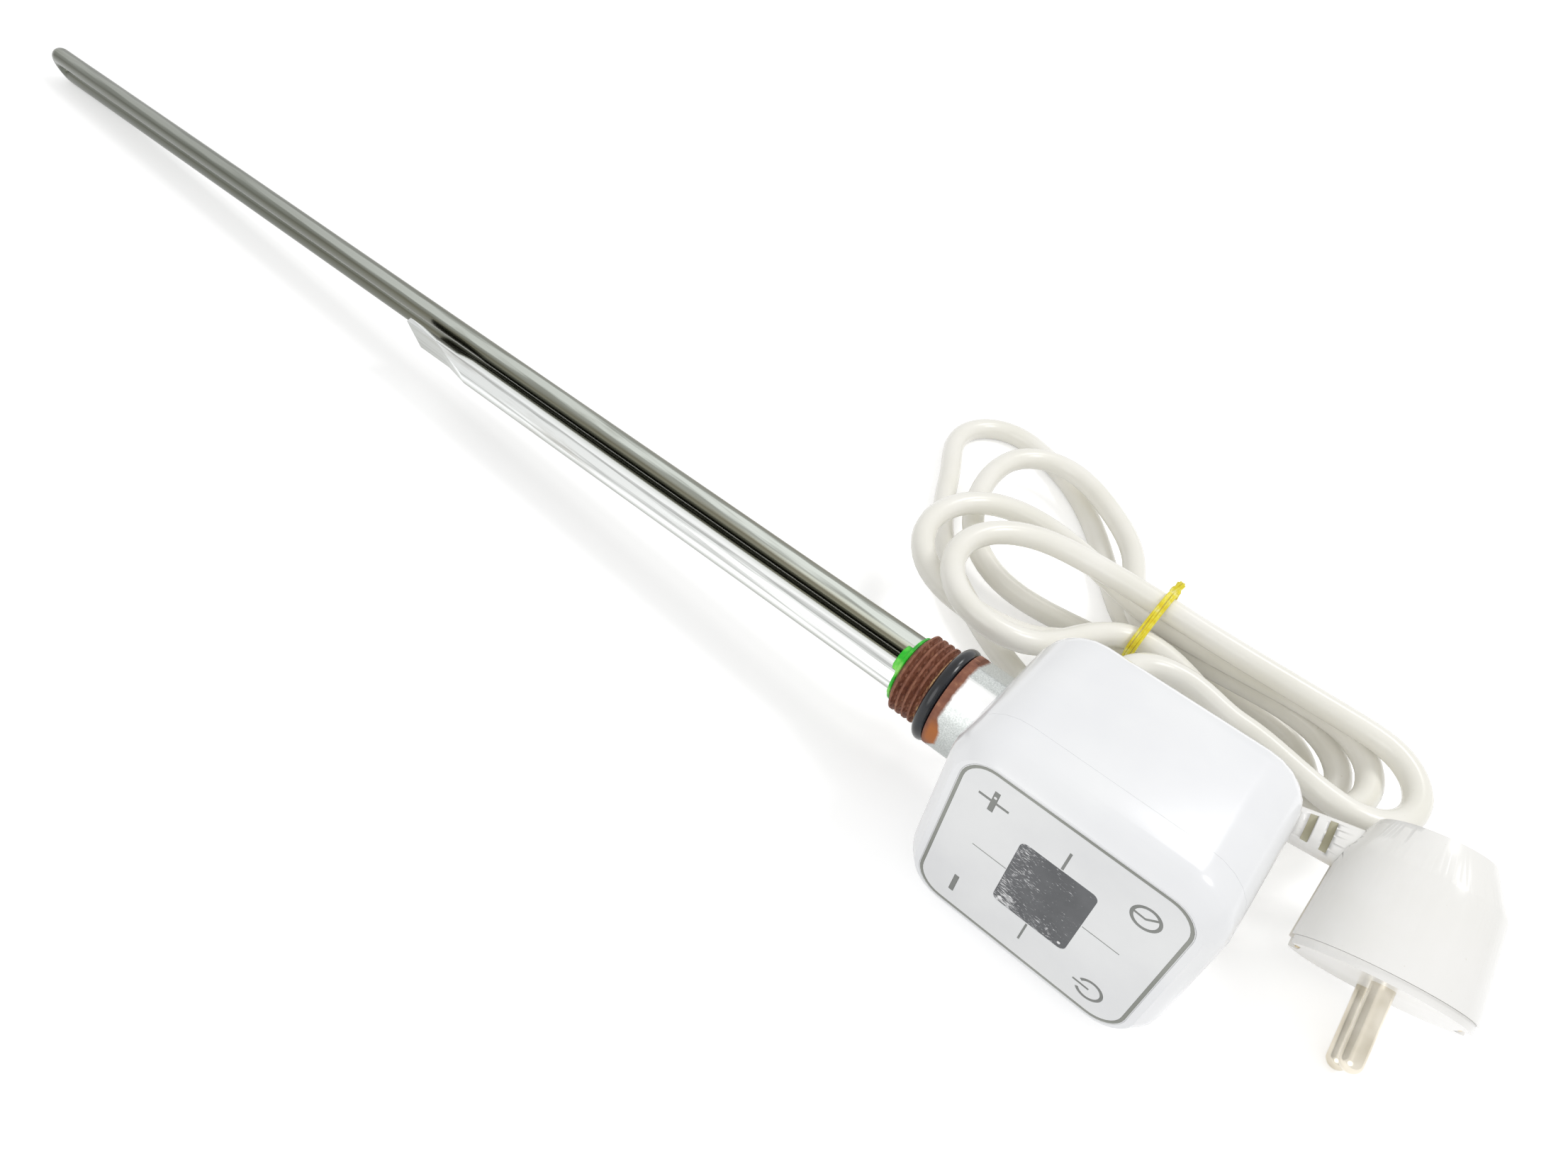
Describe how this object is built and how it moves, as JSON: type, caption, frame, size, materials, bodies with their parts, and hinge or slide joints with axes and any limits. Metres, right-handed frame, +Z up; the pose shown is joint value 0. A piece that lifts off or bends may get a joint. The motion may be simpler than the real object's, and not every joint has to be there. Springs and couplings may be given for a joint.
{
  "type": "screw-in immersion heating element",
  "caption": "Hairpin heating tube and sensor tube in a threaded plug with a white control head, mains lead tied in a hank, and a pinned plug.",
  "frame": {"origin": "middle of the thread, on its axis", "axes": "+X from the hairpin's tip to the control head, +Y from the panel to the cord side, +Z up; the thread's axis rises 2.8038 degrees towards the head as the object lies on a table"},
  "size_m": [0.5596, 0.1705, 0.0577],
  "materials": {
    "sheath_steel": "dark annealed stainless, oxidised",
    "pocket_steel": "bright drawn stainless",
    "plug_steel": "plated, rusted at the thread",
    "filling": "pressed magnesia powder",
    "wire": "drawn",
    "seal_bead": "moulded",
    "contact_metal": "tinned",
    "sleeve_fibre": "varnished braid",
    "black_part": "moulded",
    "wire_skin": "silicone",
    "rubber_black": "smooth",
    "thread_sealant": "cured, smeared",
    "case_white": "gloss",
    "foil_grey": "fine matt film",
    "window_grey": "gloss, worn",
    "seal_grey": "smooth",
    "screw_steel": "zinc plated",
    "key_white": "moulded",
    "board_green": "solder mask",
    "part_blue": "moulded",
    "fuse_glass": "nickel",
    "cord_white": "smooth PVC",
    "tie_yellow": "twisted string",
    "plug_white": "moulded PVC",
    "pin_nickel": "nickel plated, worn"
  },
  "bodies": {
    "heater": {"heating_tube": "sheath_steel", "magnesia_core": "filling", "resistance_coil": "wire", "terminal_pins": "wire", "end_seals": "seal_bead", "spade_terminals": "contact_metal", "sensor_tube": "pocket_steel", "insulating_sleeve": "sleeve_fibre", "temperature_probe": "black_part", "thermal_fuse": "fuse_glass", "sensor_wires": "wire_skin", "threaded_plug": "plug_steel", "o_ring": "rubber_black", "sealant": "thread_sealant", "retaining_nut": "contact_metal", "earth_tag": "contact_metal", "rear_housing": "case_white", "front_cover": "case_white", "housing_seal": "seal_grey", "cover_screws": "screw_steel", "keypad_foil": "foil_grey", "display_window": "window_grey", "display_module": "black_part", "control_board": "board_green", "tact_switches": "black_part", "controller_chip": "black_part", "board_link": "black_part", "power_board": "board_green", "board_screws": "screw_steel", "relay": "part_blue", "film_capacitor": "part_blue", "power_module": "black_part", "board_fuse": "black_part", "terminal_block": "case_white", "element_wires": "wire_skin", "earth_wire": "wire_skin", "supply_wires": "wire_skin", "cord_boot": "case_white", "boot_lock": "case_white", "cord_lead": "cord_white", "cord_hank": "cord_white", "cord_tail": "cord_white", "hank_tie": "tie_yellow", "plug_body": "plug_white", "plug_face": "plug_white", "plug_relief": "plug_white", "plug_pins": "pin_nickel", "earth_clips": "contact_metal"},
    "key_plus_body": {"key_plus": "key_white"},
    "key_minus_body": {"key_minus": "key_white"},
    "key_timer_body": {"key_timer": "key_white"},
    "key_power_body": {"key_power": "key_white"}
  },
  "joints": [
    {"name": "key_plus_press", "type": "slide", "parent": "heater", "child": "key_plus_body", "axis": [0, 1, 0], "range_m": [0, 0.00025], "stiffness_N_per_m": 20},
    {"name": "key_minus_press", "type": "slide", "parent": "heater", "child": "key_minus_body", "axis": [0, 1, 0], "range_m": [0, 0.00025], "stiffness_N_per_m": 20},
    {"name": "key_timer_press", "type": "slide", "parent": "heater", "child": "key_timer_body", "axis": [0, 1, 0], "range_m": [0, 0.00025], "stiffness_N_per_m": 20},
    {"name": "key_power_press", "type": "slide", "parent": "heater", "child": "key_power_body", "axis": [0, 1, 0], "range_m": [0, 0.00025], "stiffness_N_per_m": 20}
  ]
}
